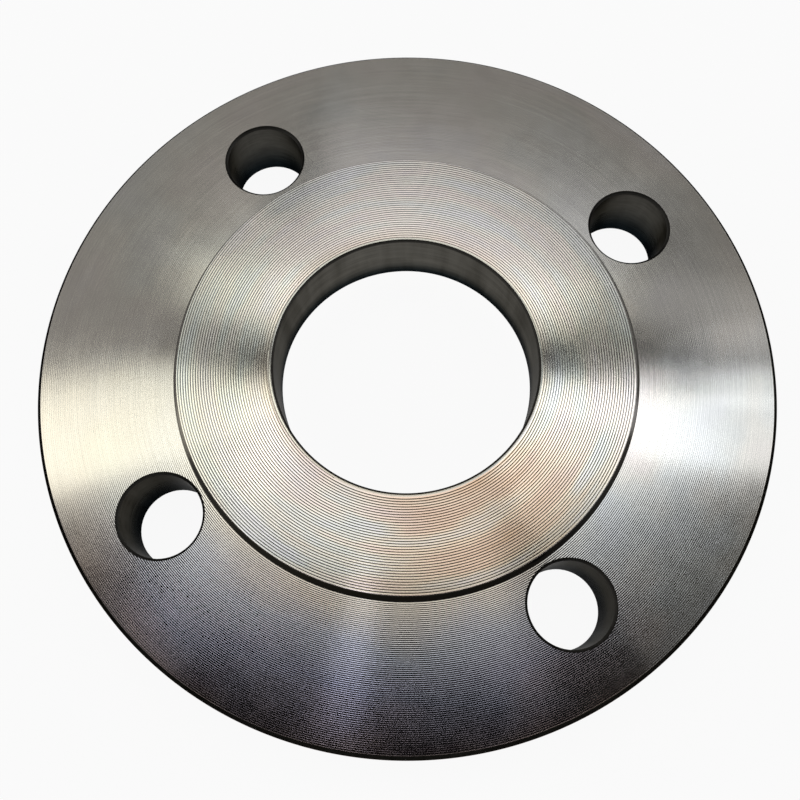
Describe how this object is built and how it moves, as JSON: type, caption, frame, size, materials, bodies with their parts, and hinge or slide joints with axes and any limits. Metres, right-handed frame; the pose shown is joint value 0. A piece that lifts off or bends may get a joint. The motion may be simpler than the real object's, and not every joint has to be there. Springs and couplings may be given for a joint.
{
  "type": "slip on flange",
  "caption": "Flat round slip-on pipe flange of turned steel, with a low raised gasket face, a plain pipe bore bevelled at the back for the weld, and drilled bolt holes.",
  "frame": {"origin": "centre of the flat back face, on the bore's axis", "axes": "+Z along the bore's axis, from the back face towards the raised gasket face; +X and +Y each pass midway between two bolt holes"},
  "size_m": [0.165, 0.165, 0.02],
  "materials": {
    "turned_steel": "turned, satin, with fine tool marks in rings"
  },
  "bodies": {
    "root": {"slip_on_flange": "turned_steel"}
  },
  "joints": []
}
